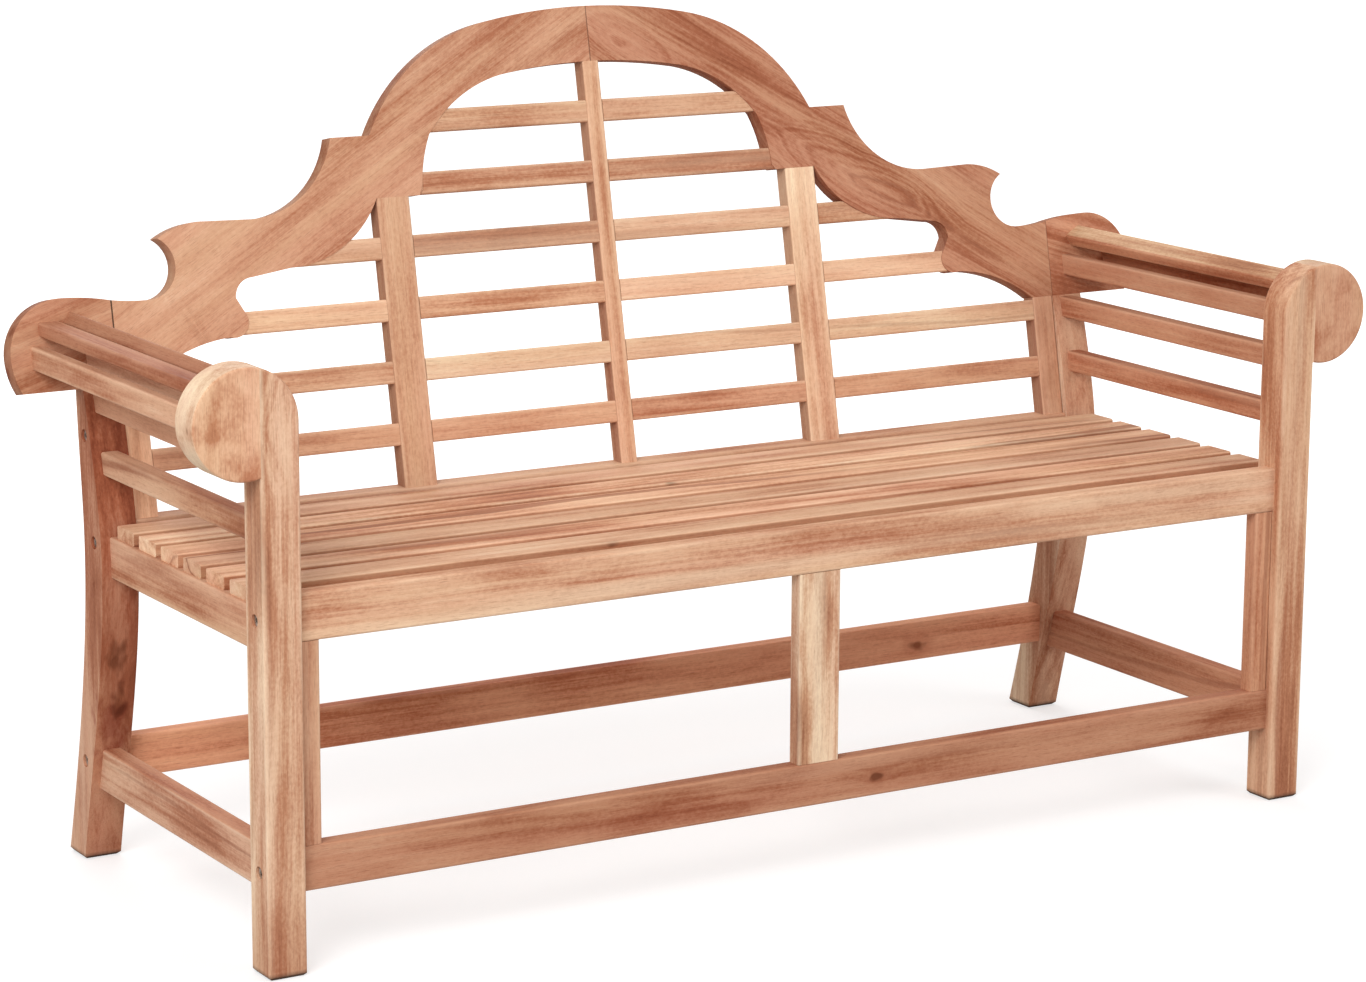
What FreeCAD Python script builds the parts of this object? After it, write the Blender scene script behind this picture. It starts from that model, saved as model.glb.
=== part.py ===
"""Teak garden bench: three seats wide, with an arched and scrolled back and rolled arms of slats.

Millimetres, +Z up.  The length runs along X and the front faces -Y.  The pieces are drawn with Y = 0 on the
front legs' front faces, and the finished bench is moved so that the origin is under its middle, on the floor.
Sided pieces are drawn on the right (+X) and mirrored to the left.
"""
import FreeCAD, Part
import math
import os

# Legs
leg_span = 1500.0            # over the outer faces of the left and right legs
leg_section = 48.0           # side of the square front leg, and width of the rear leg
foot_chamfer = 4.0
rear_leg_lead = 10.0         # rear leg's front face ahead of the back frame, at the seat
rear_leg_depth = 51.5        # rear leg, front to rear, at the seat
rear_foot_depth = 48.5
rear_foot_kick = 76.0        # rear foot behind the rear leg's front face at the seat
rear_leg_hollow = 17.0       # bow of the lower rear leg, off a straight line
rear_leg_sway = 4.0          # bow of the upper rear leg's front edge

# Seat
seat_height = 444.0          # floor to the top of the seat slats
seat_depth = 475.0           # front leg's front face to the back frame, at the seat
seat_slat_count = 6
seat_slat_thickness = 17.0
seat_slat_gap = 15.0
seat_front_gap = 41.0        # front rail to the first slat
seat_rear_gap = 13.0         # last slat to the rear legs
seat_slat_inset = 5.0        # slat's end inside the side rail's outer face

# Rails, bearers, stretchers and uprights
rail_thickness = 24.0
front_rail_height = 57.0
front_rail_rise = 3.0        # front rail above the slats
side_rail_height = 51.0
rear_rail_height = 53.0
rear_rail_thickness = 32.0
rear_rail_lead = 5.0         # rear rail's front face ahead of the back frame
bearer_height = 34.0
bearer_spread = 480.0        # between the middles of the two bearers
stretcher_height = 54.0
stretcher_clearance = 96.0   # floor to the front and side stretchers
rear_stretcher_clearance = 104.0
rear_stretcher_set = 56.0    # middle of the rear stretcher behind the back frame's foot
upright_thickness = 22.0
centre_upright_width = 59.0
end_upright_width = 27.0

# Arms
arm_rise = 204.0             # arm's middle above the seat
arm_disc_radius = 65.0
arm_slat_width = 28.0
arm_slat_thickness = 17.0
ARM_SLATS = (                # name, across and up from the arm's middle, tenon off the slat's middle
    ("inner", -34.0, -2.0, 0.0),
    ("upper_inner", -17.0, 36.5, -8.5),
    ("upper_outer", 18.5, 31.5, 0.0),
    ("outer", 36.0, -2.0, 0.0),
)
arm_slat_angles = {"inner": 90, "upper_inner": 30, "upper_outer": 0, "outer": 90}  # degrees
side_slat_height = 28.0
lower_side_slat_rise = 57.0  # underside above the seat
upper_side_slat_rise = 131.0

# Back, where heights run up the leaning back from the seat
back_tilt = 11.5             # degrees
back_thickness = 24.0
stile_width = 34.0
side_muntin_offset = 306.0   # middle of the side muntin from the middle of the bench
side_muntin_width = 46.5
centre_muntin_width = 24.5
back_row_count = 6
full_row_count = 4           # lower rows, which also cross the outer bays
back_slat_height = 28.6
back_slat_thickness = 18.0
back_slat_setback = 1.0      # behind the muntins' front faces
back_row_start = 54.0        # underside of the lowest row
back_row_headroom = 50.4     # top row to the crest's underside, at the middle of the bench
scroll_radius = 68.0
scroll_drop = 44.0           # rear scroll's underside below its middle
scroll_shift = 3.0           # rear scroll's middle outside the arm's middle
scroll_taper = 11.0          # rear scroll narrower at its underside than at its middle
scroll_dip = 7.5             # joint of scroll and crest below the scroll's top

# Crest, where the bow of an edge is its rise off a straight line, outwards positive
crest_height = 599.0         # top of the arch
crest_middle_depth = 72.0    # arch at the middle of the bench
arch_half_width = 150.0      # the flatter top of the arch
arch_fall = 14.0             # arch's top down to the ends of its flatter part
arch_bow = 26.6              # sides of the arch
crest_step_height = 448.5
crest_step_edge = 1.5        # step's inner end outside the side muntin
crest_step_width = 55.0
CREST_SHOULDER = (           # in from the rear leg, up from the scroll's top, bow of the edge leading there
    (197.0, 78.0, -26.4),
    (124.0, 80.0, 0.0),
    (69.0, 63.0, 3.9),
    (47.0, -11.0, -31.0),
)
scroll_joint_bow = -1.0      # crest's top edge where it runs into the scroll
CREST_SCALLOP = (            # in from the rear leg, up from the scroll's underside, bow
    (154.0, 46.0, -10.0),
    (176.0, 76.0, 14.0),
    (166.0, 94.0, 0.0),
    (190.0, 118.0, -7.0),
    (247.0, 126.0, 0.0),
)
scallop_bow = 21.0           # underside that falls from the scallop to the crest's foot
crest_foot_gap = 0.6         # crest's foot below the row of slats beside it
crest_foot_overlap = 15.0    # crest's foot inside the side muntin
crest_foot_chamfer = (5.0, 7.0)
vault_side = (37.0, 82.0, -3.5)  # in from the side muntin, down from the vault's top, bow
vault_half_width = 135.0     # the flatter top of the vault under the arch
vault_fall = 11.5
vault_bow = -12.0            # between the vault's side and its flatter top

# Joints and fasteners
edge_ease = 3.0              # rounding of the sawn edges
fit_gap = 0.15               # all round a tenon, dowel, bolt, nut or screw
tenon_thickness = 10.0
tenon_length = 14.0
tenon_shoulder = 7.0         # on the edges of a rail's tenon
slat_tenon_thickness = 8.0
slat_tenon_length = 10.0
slat_tenon_shoulder = 4.0
round_tenon_radius = 4.5
tenon_root = 8.0             # tenon started inside a piece whose end is not square
dowel_radius = 5.0
dowel_length = 44.0
dowel_inset = 16.0           # middle of a dowel from the nearest face
dowel_spacing = 26.0         # between the dowels at the middle of the crest
bolt_radius = 4.0
bolt_head_radius = 7.0
bolt_head_height = 6.0
bolt_head_gap = 1.0          # all round the head
bolt_socket_radius = 3.5
bolt_socket_depth = 4.0
bolt_recess = 9.0            # depth of the counterbore in the leg
bolt_tail = 8.0              # bolt past the middle of its nut
nut_radius = 6.0
nut_length = 18.0
nut_setback = 40.0           # middle of the nut from the rail's shoulder
screw_radius = 2.0
screw_head_radius = 4.0
screw_head_height = 3.0
screw_grip = 25.0            # wood between the head and the slat
screw_bite = 11.0            # depth in the slat

# Places that follow from the sizes
leg_outer = leg_span / 2
leg_inner = leg_outer - leg_section
leg_middle = leg_outer - leg_section / 2
arm_x = leg_inner + arm_disc_radius
arm_z = seat_height + arm_rise
disc_foot = arm_z - math.sqrt(arm_disc_radius ** 2 - (arm_x - leg_outer) ** 2)
slat_underside = seat_height - seat_slat_thickness
front_rail_middle = leg_section / 2
front_rail_rear = front_rail_middle + rail_thickness / 2
front_rail_top = seat_height + front_rail_rise
front_rail_bottom = front_rail_top - front_rail_height
stretcher_top = stretcher_clearance + stretcher_height
rear_rail_front = seat_depth - rear_rail_lead
rear_rail_middle = rear_rail_front + rear_rail_thickness / 2
rear_rail_bottom = seat_height - rear_rail_height
rear_stretcher_middle = seat_depth + rear_stretcher_set
rear_stretcher_top = rear_stretcher_clearance + stretcher_height
rear_leg_front = seat_depth - rear_leg_lead
side_rail_outer = leg_middle + rail_thickness / 2
side_rail_inner = leg_middle - rail_thickness / 2
tilt = math.radians(back_tilt)
scroll_x = arm_x + scroll_shift
scroll_middle = arm_rise / math.cos(tilt)
scroll_bottom = scroll_middle - scroll_drop
scroll_top = scroll_middle + scroll_radius
scroll_joint = scroll_top - scroll_dip
back_middle = back_thickness / 2
slat_middle = back_slat_setback + back_slat_thickness / 2
muntin_inner = side_muntin_offset - side_muntin_width / 2
muntin_outer = side_muntin_offset + side_muntin_width / 2
stile_inner = leg_inner - stile_width
crest_underside = crest_height - crest_middle_depth
top_row_start = crest_underside - back_row_headroom - back_slat_height
back_row_pitch = (top_row_start - back_row_start) / (back_row_count - 1)
crest_foot = back_row_start + full_row_count * back_row_pitch - crest_foot_gap
REACH = 2 * leg_span         # larger than the bench, for cutting planes

Vector = FreeCAD.Vector
ORIGIN = Vector(0, 0, 0)
ALONG_X = Vector(1, 0, 0)
ALONG_Y = Vector(0, 1, 0)
ALONG_Z = Vector(0, 0, 1)

pieces = {}                  # blanks by name
cuts = {}                    # what is cut out of each blank
sided = set()                # pieces drawn on the right that also stand on the left
groups = {}                  # several separate solids in one node


# Drawing

def box(x0, x1, y0, y1, z0, z1):
    return Part.makeBox(x1 - x0, y1 - y0, z1 - z0, Vector(x0, y0, z0))


def socket(x0, x1, y0, y1, z0, z1):
    """The mortise for a tenon with these limits."""
    return box(x0 - fit_gap, x1 + fit_gap, y0 - fit_gap, y1 + fit_gap, z0 - fit_gap, z1 + fit_gap)


def bar(*limits):
    """A sawn bar with its four long edges eased."""
    blank = box(*limits)
    sizes = [blank.BoundBox.XLength, blank.BoundBox.YLength, blank.BoundBox.ZLength]
    long_way = (ALONG_X, ALONG_Y, ALONG_Z)[sizes.index(max(sizes))]
    edges = [edge for edge in blank.Edges
             if edge.tangentAt(edge.FirstParameter).cross(long_way).Length < 0.01]
    return blank.makeFillet(min(edge_ease, 0.3 * min(sizes)), edges)


def footed(blank):
    """A leg's blank with its foot chamfered all round."""
    return blank.makeChamfer(foot_chamfer, [edge for edge in blank.Edges if edge.BoundBox.ZMax < 0.01])


def rod(radius, start, end):
    return Part.makeCylinder(radius, (end - start).Length, start, end - start)


def bored(radius, start, end):
    """The hole for a rod, with its fit all round and at both ends."""
    spare = (end - start).normalize() * fit_gap
    return rod(radius + fit_gap, start - spare, end + spare)


def mirrored(shape):
    return shape.mirror(ORIGIN, ALONG_X)


def lean(shape):
    """From the back's flat drawing (across, depth, height) to its leaning place on the bench."""
    placed = shape.copy()
    placed.rotate(ORIGIN, ALONG_X, -back_tilt)
    placed.translate(Vector(0, seat_depth, seat_height))
    return placed


def lean_point(x, depth, height):
    across = depth * math.cos(tilt) + height * math.sin(tilt)
    up = height * math.cos(tilt) - depth * math.sin(tilt)
    return Vector(x, seat_depth + across, seat_height + up)


def outlined(rows, depth):
    """A board of the back from rows of (across, height, bow of the edge that leads there)."""
    points = [Vector(x, 0, height) for x, height, bow in rows]
    edges = []
    for index, (x, height, bow) in enumerate(rows):
        start, end = points[index - 1], points[index]
        if bow:
            outwards = ALONG_Y.cross(start - end).normalize()
            edges.append(Part.Arc(start, (start + end) * 0.5 + outwards * bow, end).toShape())
        else:
            edges.append(Part.makeLine(start, end))
    return Part.Face(Part.Wire(edges)).extrude(ALONG_Y * depth)


def smooth(points):
    spline = Part.BSplineCurve()
    spline.interpolate(points)
    return spline.toShape()


def nearest(shape, place):
    """The solid at a place, where a cut has left more than one."""
    return min(shape.Solids, key=lambda solid: solid.distToShape(Part.Vertex(place))[0])


# Keeping the pieces

def piece(name, shape, both_sides=False):
    pieces[name] = shape
    if both_sides:
        sided.add(name)


def cut(name, *tools):
    cuts.setdefault(name, []).extend(tools)


def cut_both(name, *tools):
    """Cut a piece that spans the bench on its right and its left."""
    for tool in tools:
        cut(name, tool, mirrored(tool))


def group(name, *solids):
    """Add solids, and their mirror images, to a node of like pieces."""
    for solid in solids:
        groups.setdefault(name, []).extend((solid, mirrored(solid)))


# Front legs, and the blocks that widen their heads into the arms' discs

def arm_disc():
    return rod(arm_disc_radius, Vector(arm_x, 0, arm_z), Vector(arm_x, leg_section, arm_z))


def eased_rim(shape, kept_faces):
    """Ease the front and rear outlines, apart from the edges on the faces that are joined to other wood."""
    edges = []
    for edge in shape.Edges:
        middle = edge.CenterOfMass
        on_face = min(abs(middle.y), abs(middle.y - leg_section)) < 0.01
        if on_face and not any(face.distToShape(Part.Vertex(middle))[0] < 0.01 for face in kept_faces):
            edges.append(edge)
    return shape.makeFillet(edge_ease, edges)


def front_legs():
    glue_face = Part.makePlane(REACH, REACH, Vector(leg_outer, -leg_section, 0), ALONG_X, ALONG_Y)
    neck_face = Part.makePlane(leg_section, leg_section, Vector(leg_inner, 0, disc_foot))
    post = footed(box(leg_inner, leg_outer, 0, leg_section, 0, disc_foot))
    corners = [edge for edge in post.Edges if edge.BoundBox.ZLength > disc_foot / 2]
    post = post.makeFillet(edge_ease, corners)
    neck = box(leg_inner, leg_outer, 0, leg_section, disc_foot, arm_z)
    crown = arm_disc().common(box(leg_inner, leg_outer, 0, leg_section, arm_z, arm_z + arm_disc_radius))
    head = eased_rim(neck.fuse(crown).removeSplitter(), [glue_face, neck_face])
    piece("front_leg", post.fuse(head).removeSplitter(), both_sides=True)
    beyond = box(leg_outer, leg_outer + REACH, 0, leg_section, 0, REACH)
    piece("arm_block", eased_rim(arm_disc().common(beyond), [glue_face]), both_sides=True)
    for z in (arm_z - dowel_spacing, arm_z + dowel_spacing):
        ends = [Vector(leg_outer + way * dowel_length / 2, dowel_inset, z) for way in (-1, 1)]
        group("joint_dowels", rod(dowel_radius, *ends))
        cut("front_leg", bored(dowel_radius, *ends))
        cut("arm_block", bored(dowel_radius, *ends))


# Rear legs: kicked back below the seat, thinned above it to the thickness of the back

def rear_leg_blank():
    foot = rear_leg_front + rear_foot_kick
    knee = slat_underside
    edges = []
    corners = []
    for depth_at_foot, depth_at_seat, depth_at_top, sway in (
            (0, 0, 0, rear_leg_sway), (rear_foot_depth, rear_leg_depth, back_thickness, 0)):
        low = Vector(leg_inner, foot + depth_at_foot, 0)
        seat = Vector(leg_inner, rear_leg_front + depth_at_seat, knee)
        top = lean_point(leg_inner, depth_at_top, scroll_bottom)
        below = (low + seat) * 0.5 - ALONG_Y * rear_leg_hollow
        above = (seat + top) * 0.5 - ALONG_Y * sway
        edges.append(smooth([low, below, seat, above, top]))
        corners.append((low, top))
    (front_low, front_top), (rear_low, rear_top) = corners
    edges.insert(1, Part.makeLine(front_top, rear_top))
    edges.append(Part.makeLine(rear_low, front_low))
    return footed(Part.Face(Part.Wire(Part.sortEdges(edges)[0])).extrude(ALONG_X * leg_section))


def rear_legs(blank):
    half = (leg_section - 2 * tenon_shoulder) / 2
    limits = (leg_middle - half, leg_middle + half, back_middle - tenon_thickness / 2,
              back_middle + tenon_thickness / 2, scroll_bottom - tenon_root, scroll_bottom + tenon_length)
    piece("rear_leg", blank.fuse(lean(box(*limits))), both_sides=True)
    cut("rear_scroll", lean(socket(*limits)))


# Ends: rails, stretchers and slats from front leg to rear leg

def side_member(name, bottom, height, shoulder, leg_blank):
    top = bottom + height
    middle = (bottom + top) / 2
    blank = bar(side_rail_inner, side_rail_outer, leg_section, REACH, bottom, top)
    member = nearest(blank.cut(leg_blank), Vector(leg_middle, leg_section, middle))
    rear = member.common(box(0, REACH, 0, REACH, middle - fit_gap, middle + fit_gap)).BoundBox.YMax
    half = tenon_thickness / 2
    front_tenon = (leg_middle - half, leg_middle + half, leg_section - tenon_length, leg_section,
                   bottom + shoulder, top - shoulder)
    rear_tenon = (leg_middle - half, leg_middle + half, rear - tenon_root, rear + tenon_length,
                  bottom + shoulder, top - shoulder)
    piece(name, member.fuse([box(*front_tenon), box(*rear_tenon)]), both_sides=True)
    cut("front_leg", socket(*front_tenon))
    cut("rear_leg", socket(*rear_tenon))


def ends(leg_blank):
    rail_bottom = slat_underside - side_rail_height
    side_member("side_seat_rail", rail_bottom, side_rail_height, tenon_shoulder, leg_blank)
    side_member("side_stretcher", stretcher_clearance, stretcher_height, tenon_shoulder, leg_blank)
    for name, rise in (("lower", lower_side_slat_rise), ("upper", upper_side_slat_rise)):
        bottom = seat_height + rise
        side_member("side_slat_" + name, bottom, side_slat_height, slat_tenon_shoulder, leg_blank)


# Arms: four slats from the disc to the rear scroll

def arm_slats():
    behind = lean(box(-REACH, REACH, 0, REACH, -REACH, REACH))
    half_width, half_thickness = arm_slat_width / 2, arm_slat_thickness / 2
    for name, across, up, tenon_offset in ARM_SLATS:
        turn = arm_slat_angles[name]
        slat = bar(-half_width, half_width, leg_section, REACH, -half_thickness, half_thickness)
        slat.rotate(ORIGIN, ALONG_Y, -turn)
        slat.translate(Vector(arm_x + across, 0, arm_z + up))
        slat = nearest(slat.cut(behind), Vector(arm_x + across, leg_section, arm_z + up))
        x = arm_x + across + tenon_offset * math.cos(math.radians(turn))
        z = arm_z + up + tenon_offset * math.sin(math.radians(turn))
        scroll_face = seat_depth + (z - seat_height) * math.tan(tilt)
        front_tenon = (Vector(x, leg_section - tenon_length, z), Vector(x, leg_section + tenon_root, z))
        rear_tenon = (Vector(x, scroll_face - tenon_root, z), Vector(x, scroll_face + tenon_length, z))
        tenons = [rod(round_tenon_radius, *front_tenon), rod(round_tenon_radius, *rear_tenon)]
        piece("arm_slat_" + name, slat.fuse(tenons), both_sides=True)
        cut("front_leg", bored(round_tenon_radius, *front_tenon))
        cut("arm_block", bored(round_tenon_radius, *front_tenon))
        cut("rear_scroll", bored(round_tenon_radius, *rear_tenon))


# Long rails and stretchers, each bolted through the legs

def long_member(name, y, thickness, bottom, top, leg):
    rail = bar(-leg_inner, leg_inner, y - thickness / 2, y + thickness / 2, bottom, top)
    tenon = (leg_inner, leg_inner + tenon_length, y - tenon_thickness / 2, y + tenon_thickness / 2,
             bottom + tenon_shoulder, top - tenon_shoulder)
    piece(name, rail.fuse([box(*tenon), mirrored(box(*tenon))]))
    cut(leg, socket(*tenon))
    middle = (bottom + top) / 2
    nut_x = leg_inner - nut_setback
    nut_ends = [Vector(nut_x, y + way * nut_length / 2, middle) for way in (-1, 1)]
    bolt("frame_bolts", y, middle, nut_x, leg, name)
    nut(*nut_ends, Vector(nut_x, y, middle))
    cut_both(name, bored(nut_radius, nut_ends[0], nut_ends[1] + ALONG_Y * thickness / 2))


def bolt(name, y, z, nut_x, leg, member):
    """A socket-headed bolt through the leg, and the holes that it needs."""
    seat = Vector(leg_outer - bolt_recess, y, z)
    tip = Vector(nut_x - bolt_tail, y, z)
    top = seat + ALONG_X * bolt_head_height
    hexagon = [top + Vector(0, bolt_socket_radius * math.cos(turn), bolt_socket_radius * math.sin(turn))
               for turn in (math.pi / 3 * side for side in range(7))]
    key = Part.Face(Part.makePolygon(hexagon)).extrude(ALONG_X * -bolt_socket_depth)
    group(name, rod(bolt_head_radius, seat, top).fuse(rod(bolt_radius, tip, seat)).cut(key))
    hole = bored(bolt_radius, tip, seat)
    mouth = rod(bolt_head_radius + bolt_head_gap, seat, seat + ALONG_X * bolt_recess)
    cut(leg, hole, mouth)
    if member in sided:
        cut(member, hole)
    else:
        cut_both(member, hole)


def nut(start, end, middle):
    """A barrel nut across the end of its bolt."""
    thread = rod(bolt_radius + fit_gap, middle - ALONG_X * nut_radius * 2, middle + ALONG_X * nut_radius * 2)
    group("barrel_nuts", rod(nut_radius, start, end).cut(thread))


def long_members():
    long_member("front_seat_rail", front_rail_middle, rail_thickness,
                front_rail_bottom, front_rail_top, "front_leg")
    long_member("front_stretcher", front_rail_middle, rail_thickness,
                stretcher_clearance, stretcher_top, "front_leg")
    long_member("rear_seat_rail", rear_rail_middle, rear_rail_thickness,
                rear_rail_bottom, seat_height, "rear_leg")
    long_member("rear_stretcher", rear_stretcher_middle, rail_thickness,
                rear_stretcher_clearance, rear_stretcher_top, "rear_leg")


# Uprights between the front stretcher and the front rail

def upright(name, x0, x1, both_sides):
    half = upright_thickness / 2
    post = bar(x0, x1, front_rail_middle - half, front_rail_middle + half, stretcher_top, front_rail_bottom)
    half = tenon_thickness / 2
    tenons = []
    for member, start, end in (("front_stretcher", stretcher_top - slat_tenon_length, stretcher_top),
                               ("front_seat_rail", front_rail_bottom, front_rail_bottom + slat_tenon_length)):
        limits = (x0 + slat_tenon_shoulder, x1 - slat_tenon_shoulder, front_rail_middle - half,
                  front_rail_middle + half, start, end)
        tenons.append(box(*limits))
        if both_sides:
            cut_both(member, socket(*limits))
        else:
            cut(member, socket(*limits))
    piece(name, post.fuse(tenons), both_sides)


def uprights():
    upright("front_centre_upright", -centre_upright_width / 2, centre_upright_width / 2, False)
    upright("front_end_upright", leg_inner - end_upright_width, leg_inner, True)


# Seat: slats on the side rails and on two bearers, screwed from below

def bearers():
    x = bearer_spread / 2
    bottom = slat_underside - bearer_height
    half = rail_thickness / 2
    blank = bar(x - half, x + half, front_rail_rear, rear_rail_front, bottom, slat_underside)
    tenons = []
    for rail, start, end in (("front_seat_rail", front_rail_rear - slat_tenon_length, front_rail_rear),
                             ("rear_seat_rail", rear_rail_front, rear_rail_front + slat_tenon_length)):
        limits = (x - tenon_thickness / 2, x + tenon_thickness / 2, start, end,
                  bottom + tenon_shoulder, slat_underside - tenon_shoulder)
        tenons.append(box(*limits))
        cut_both(rail, socket(*limits))
    piece("seat_bearer", blank.fuse(tenons), both_sides=True)


def screw(x, y, slat, support, support_height):
    head = Vector(x, y, slat_underside - screw_grip)
    tip = Vector(x, y, slat_underside + screw_bite)
    cap = head - ALONG_Z * screw_head_height
    group("seat_screws", rod(screw_radius, head, tip).fuse(rod(screw_head_radius, cap, head)))
    cut_both(slat, bored(screw_radius, head, tip))
    below = Vector(x, y, slat_underside - support_height)
    cut(support, bored(screw_radius, head, tip), rod(screw_head_radius + fit_gap, below, head))


def seat():
    first = front_rail_rear + seat_front_gap
    room = rear_leg_front - seat_rear_gap - first
    width = (room - (seat_slat_count - 1) * seat_slat_gap) / seat_slat_count
    end = side_rail_outer - seat_slat_inset
    for index in range(seat_slat_count):
        name = f"seat_slat_{index + 1}"
        front = first + index * (width + seat_slat_gap)
        piece(name, bar(-end, end, front, front + width, slat_underside, seat_height))
        screw((side_rail_inner + end) / 2, front + width / 2, name, "side_seat_rail", side_rail_height)
        screw(bearer_spread / 2, front + width / 2, name, "seat_bearer", bearer_height)


# Back: drawn flat, then leaned

def crest_blank():
    """Right half of the crest: arch, step, swept shoulder with its tip, hook, and the scalloped underside."""
    step = muntin_outer + crest_step_edge
    foot = muntin_inner - crest_foot_overlap
    vault_in, vault_down, vault_side_bow = vault_side
    rows = [
        (0, crest_underside, -vault_fall / 4),
        (0, crest_height, 0),
        (arch_half_width, crest_height - arch_fall, arch_fall / 4),
        (step, crest_step_height, arch_bow),
        (step + crest_step_width, crest_step_height, 0),
    ]
    rows += [(leg_inner - inwards, scroll_top + up, bow) for inwards, up, bow in CREST_SHOULDER]
    rows += [
        (leg_inner, scroll_joint, scroll_joint_bow),
        (leg_inner, scroll_bottom, 0),
        (stile_inner, scroll_bottom, 0),
    ]
    rows += [(leg_inner - inwards, scroll_bottom + up, bow) for inwards, up, bow in CREST_SCALLOP]
    rows += [
        (muntin_outer, crest_foot, scallop_bow),
        (foot, crest_foot, 0),
        (foot - crest_foot_chamfer[0], crest_foot + crest_foot_chamfer[1], 0),
        (muntin_inner - vault_in, crest_underside - vault_down, vault_side_bow),
        (vault_half_width, crest_underside - vault_fall, vault_bow),
    ]
    return outlined(rows, back_thickness)


def scroll_blank():
    quarter_bow = scroll_radius * (1 - math.sqrt(0.5))
    return outlined((
        (leg_inner, scroll_bottom, 0),
        (leg_inner, scroll_joint, 0),
        (scroll_x, scroll_top, scroll_dip / 4),
        (scroll_x + scroll_radius, scroll_middle, quarter_bow),
        (scroll_x + scroll_radius - scroll_taper, scroll_bottom, scroll_taper / 4),
    ), back_thickness)


def back_dowel(x, height, *joined):
    ends = [Vector(x + way * dowel_length / 2, back_middle, height) for way in (-1, 1)]
    for name in joined:
        cut(name, lean(bored(dowel_radius, *ends)))
    return lean(rod(dowel_radius, *ends))


def crest_and_scrolls(crest):
    piece("crest", lean(crest), both_sides=True)
    piece("rear_scroll", lean(scroll_blank()), both_sides=True)
    upper = crest_height - dowel_inset
    groups["crest_dowels"] = [back_dowel(0, height, "crest") for height in (upper, upper - dowel_spacing)]
    lower = scroll_joint - dowel_spacing
    for height in (lower, lower - 1.5 * dowel_spacing):
        group("joint_dowels", back_dowel(leg_inner, height, "crest", "rear_scroll"))


def standing(name, x0, x1, top, crest, both_sides):
    """A stile or muntin: tenoned down into the rear rail and up into the crest."""
    below = box(-REACH, REACH, -REACH, REACH, -REACH, seat_height)
    blank = bar(x0, x1, 0, back_thickness, -back_thickness, top + back_thickness)
    blank = blank.cut([crest, mirrored(crest), box(-REACH, REACH, -REACH, REACH, top + fit_gap, REACH)])
    stick = lean(nearest(blank, Vector((x0 + x1) / 2, 0, 0))).cut(below)
    left, right = x0 + slat_tenon_shoulder, x1 - slat_tenon_shoulder
    half = tenon_thickness / 2
    foot = (left, right, rear_rail_middle - half, rear_rail_middle + half,
            seat_height - tenon_length, seat_height)
    head = (left, right, back_middle - half, back_middle + half, top - tenon_root, top + tenon_length)
    piece(name, stick.fuse([box(*foot), lean(box(*head))]), both_sides)
    cut("crest", lean(socket(*head)))
    if both_sides:
        cut_both("rear_seat_rail", socket(*foot))
    else:
        cut("rear_seat_rail", socket(*foot))


def back_frame(crest):
    half = centre_muntin_width / 2
    standing("back_stile", stile_inner, leg_inner, scroll_bottom, crest, True)
    standing("side_muntin", muntin_inner, muntin_outer, crest_foot, crest, True)
    standing("centre_muntin", -half, half, crest_underside, crest, False)
    height = back_row_start + (back_row_pitch + back_slat_height) / 2
    x = leg_inner - stile_width / 2
    place = lean_point(x, back_middle, height)
    bolt("back_bolts", place.y, place.z, x, "rear_leg", "back_stile")
    nut_ends = [lean_point(x, back_middle + way * nut_length / 2, height) for way in (-1, 1)]
    nut(*nut_ends, place)
    mouth = lean_point(x, back_thickness + fit_gap, height)
    cut("back_stile", bored(nut_radius, nut_ends[0], mouth))


def back_slat(row, left, right, inner, outer, crest):
    """One slat between two named pieces, scribed to the crest where it meets it."""
    bottom = back_row_start + row * back_row_pitch
    top = bottom + back_slat_height
    middle = (bottom + top) / 2
    blank = bar(left, right, back_slat_setback, back_slat_setback + back_slat_thickness, bottom, top)
    slat = nearest(blank.cut(crest), Vector(left, slat_middle, middle))
    end = slat.common(box(0, REACH, 0, REACH, middle - fit_gap, middle + fit_gap)).BoundBox.XMax
    half = slat_tenon_thickness / 2
    sides = (slat_middle - half, slat_middle + half, bottom + slat_tenon_shoulder, top - slat_tenon_shoulder)
    inner_tenon = (left - slat_tenon_length, left) + sides
    outer_tenon = (end - tenon_root, end + slat_tenon_length) + sides
    group(f"back_slats_row_{row + 1}", lean(slat.fuse([box(*inner_tenon), box(*outer_tenon)])))
    if inner in sided:
        cut(inner, lean(socket(*inner_tenon)))
    else:
        cut_both(inner, lean(socket(*inner_tenon)))
    for name in (outer, "crest"):
        cut(name, lean(socket(*outer_tenon)))


def back_slats(crest):
    half = centre_muntin_width / 2
    for row in range(back_row_count):
        back_slat(row, half, muntin_inner, "centre_muntin", "side_muntin", crest)
    for row in range(full_row_count):
        back_slat(row, muntin_outer, stile_inner, "side_muntin", "back_stile", crest)


# The whole bench

def build():
    leg_blank = rear_leg_blank()
    crest = crest_blank()
    front_legs()
    rear_legs(leg_blank)
    ends(leg_blank)
    arm_slats()
    long_members()
    uprights()
    bearers()
    seat()
    crest_and_scrolls(crest)
    back_frame(crest)
    back_slats(crest)


def finished():
    """Every node's shape, still with Y = 0 on the front legs."""
    nodes = {}
    for name, blank in pieces.items():
        shape = blank.cut(cuts[name]) if name in cuts else blank
        if name in sided:
            nodes[name + "_left"] = mirrored(shape)
            nodes[name + "_right"] = shape
        else:
            nodes[name] = shape
    for name, solids in groups.items():
        nodes[name] = Part.makeCompound(solids)
    return nodes


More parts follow.
